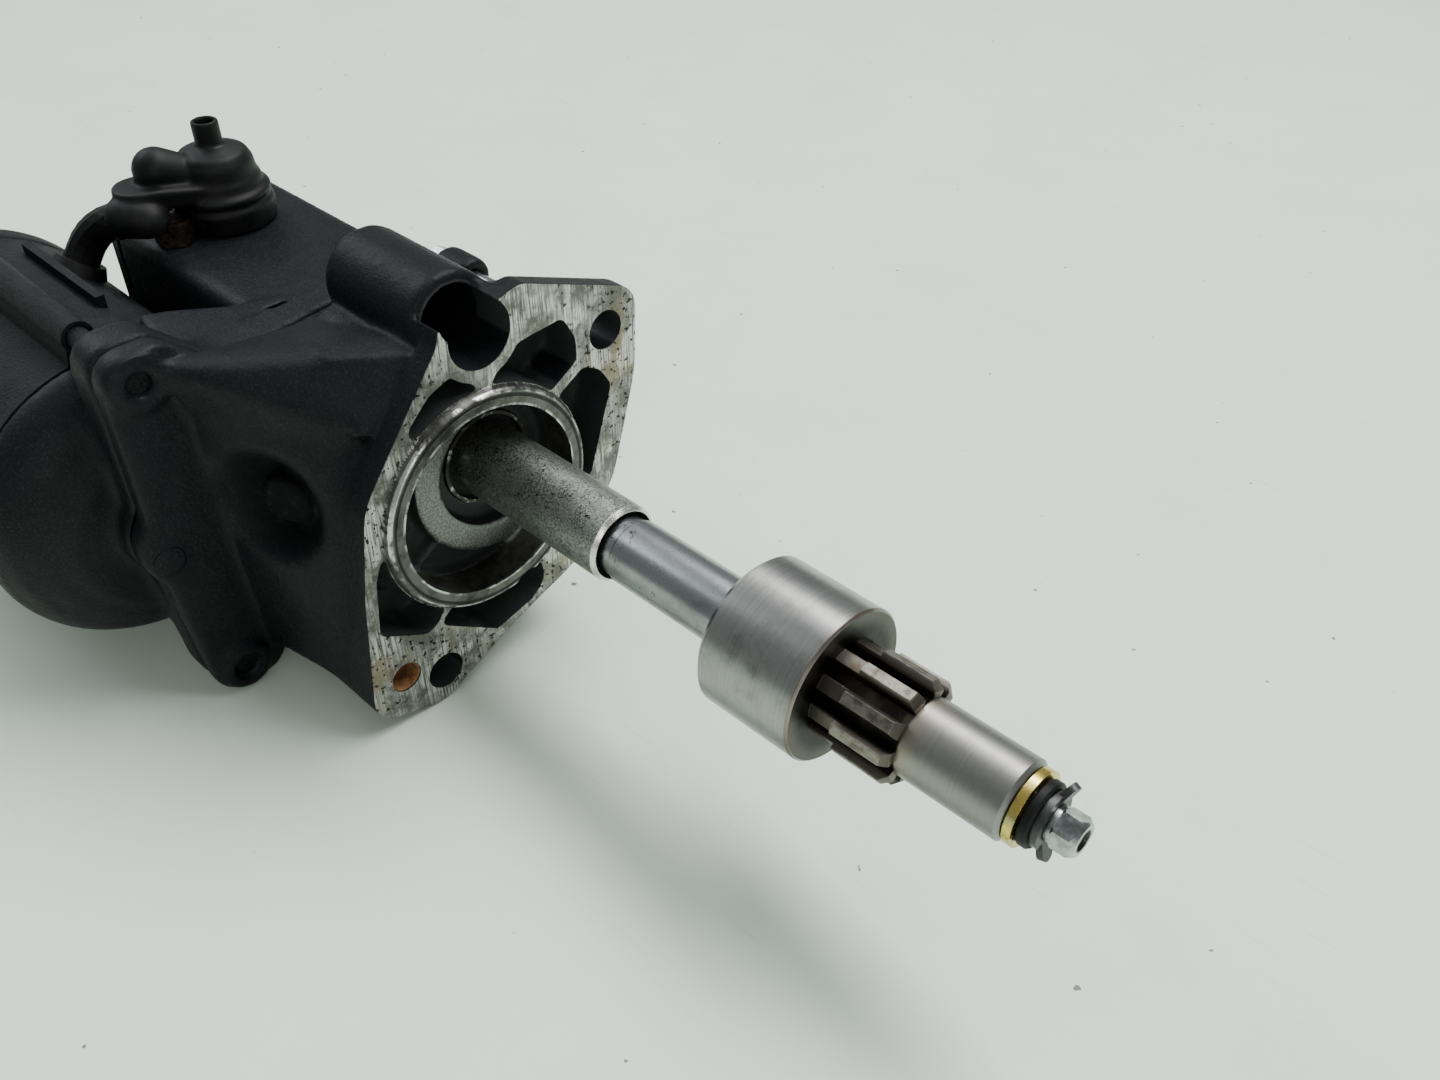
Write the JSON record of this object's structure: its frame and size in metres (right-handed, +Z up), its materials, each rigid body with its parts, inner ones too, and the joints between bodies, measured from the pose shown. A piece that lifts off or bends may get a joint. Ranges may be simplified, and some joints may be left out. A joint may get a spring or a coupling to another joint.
{
  "type": "starter motor",
  "caption": "Gear-reduction starter motor: two-piece cast drive case, side-by-side motor and solenoid, overrunning clutch and a long sliding jackshaft with a sprung end pinion.",
  "frame": {"origin": "where the drive shaft axis meets the machined mounting face", "axes": "+X out along the drive shaft towards the pinion, +Z up as the starter lies on a bench, +Y away from the motor"},
  "size_m": [0.3516, 0.1563, 0.124],
  "materials": {
    "casting_paint": "satin black paint on cast aluminium",
    "motor_paint": "black wrinkle paint",
    "zinc_steel": "bright zinc",
    "rusty_steel": "rusty brown",
    "copper": "bare copper",
    "insulator": "matte",
    "rubber": "matte black",
    "magnet_iron": "bare iron",
    "winding": "lacquered copper",
    "carbon": "matte",
    "bearing_steel": "polished",
    "bronze": "sintered",
    "spring_steel": "bright",
    "gear_steel": "ground and oiled",
    "sleeve_steel": "mottled grey-green",
    "jackshaft_steel": "ground",
    "pinion_steel": "turned, worn teeth",
    "plate_steel": "dark stamped",
    "yellow_zinc": "yellow passivated"
  },
  "bodies": {
    "root": {"drive_housing": "casting_paint", "solenoid_housing": "casting_paint", "motor_yoke": "motor_paint", "end_cover": "motor_paint", "through_bolts": "motor_paint", "case_screws": "zinc_steel", "solenoid_cover": "casting_paint", "cover_screws": "zinc_steel", "locating_sleeve": "rusty_steel", "battery_terminal": "copper", "terminal_insulator": "insulator", "terminal_nut": "zinc_steel", "terminal_boot": "rubber", "motor_terminal": "copper", "lead_eyelet": "copper", "motor_lead": "rubber", "lead_grommet": "rubber", "pole_shoes": "magnet_iron", "field_coils": "winding", "front_motor_bearing": "bearing_steel", "rear_motor_bearing": "bearing_steel", "brush_holder": "insulator", "brushes": "carbon", "brush_springs": "spring_steel", "idler_pin": "gear_steel", "clutch_front_bearing": "bearing_steel", "clutch_rear_bearing": "bearing_steel", "nose_bearing": "bearing_steel", "nose_seal": "rubber", "solenoid_coil": "winding", "solenoid_core": "magnet_iron", "solenoid_contacts": "copper", "plunger_spring": "spring_steel"},
    "plunger": {"plunger": "magnet_iron", "contact_disc": "copper", "thrust_ball": "bearing_steel"},
    "drive": {"output_shaft": "gear_steel", "coupling_sleeve": "sleeve_steel", "jackshaft": "jackshaft_steel", "jackshaft_bolt": "zinc_steel", "lock_plate": "plate_steel", "thrust_ring": "yellow_zinc", "end_seal": "rubber", "snap_ring": "spring_steel", "pinion_spring": "spring_steel"},
    "pinion": {"drive_pinion": "pinion_steel"},
    "clutch": {"clutch_gear": "gear_steel", "clutch_rollers": "bearing_steel", "clutch_hub": "gear_steel"},
    "idler": {"idler_gear": "gear_steel", "idler_bushing": "bronze"},
    "armature": {"armature_shaft": "gear_steel", "armature_core": "magnet_iron", "armature_winding": "winding", "commutator": "copper"}
  },
  "joints": [
    {"name": "plunger_slide", "type": "slide", "parent": "root", "child": "plunger", "axis": [1, 0, 0], "range_m": [0, 0.01], "stiffness_N_per_m": 400, "springref_m": -0.004, "deforming": ["plunger_spring"]},
    {"name": "shaft_spin", "type": "hinge", "parent": "plunger", "child": "drive", "pos_m": [0, 0, 0], "axis": [1, 0, 0], "continuous": true},
    {"name": "pinion_slide", "type": "slide", "parent": "drive", "child": "pinion", "axis": [1, 0, 0], "range_m": [-0.005, 0], "stiffness_N_per_m": 2500, "springref_m": 0.001, "deforming": ["pinion_spring"]},
    {"name": "armature_spin", "type": "hinge", "parent": "root", "child": "armature", "pos_m": [-0.1, -0.06973, -0.0061], "axis": [1, 0, 0], "continuous": true},
    {"name": "idler_spin", "type": "hinge", "parent": "root", "child": "idler", "pos_m": [-0.055, -0.04533, -0.00397], "axis": [1, 0, 0], "continuous": true},
    {"name": "clutch_spin", "type": "hinge", "parent": "root", "child": "clutch", "pos_m": [-0.055, 0, 0], "axis": [1, 0, 0], "continuous": true}
  ],
  "couplings": [
    {"joint": "idler_spin", "follows": "armature_spin", "ratio": -0.64706},
    {"joint": "clutch_spin", "follows": "armature_spin", "ratio": 0.31429},
    {"joint": "shaft_spin", "follows": "armature_spin", "ratio": 0.31429}
  ]
}
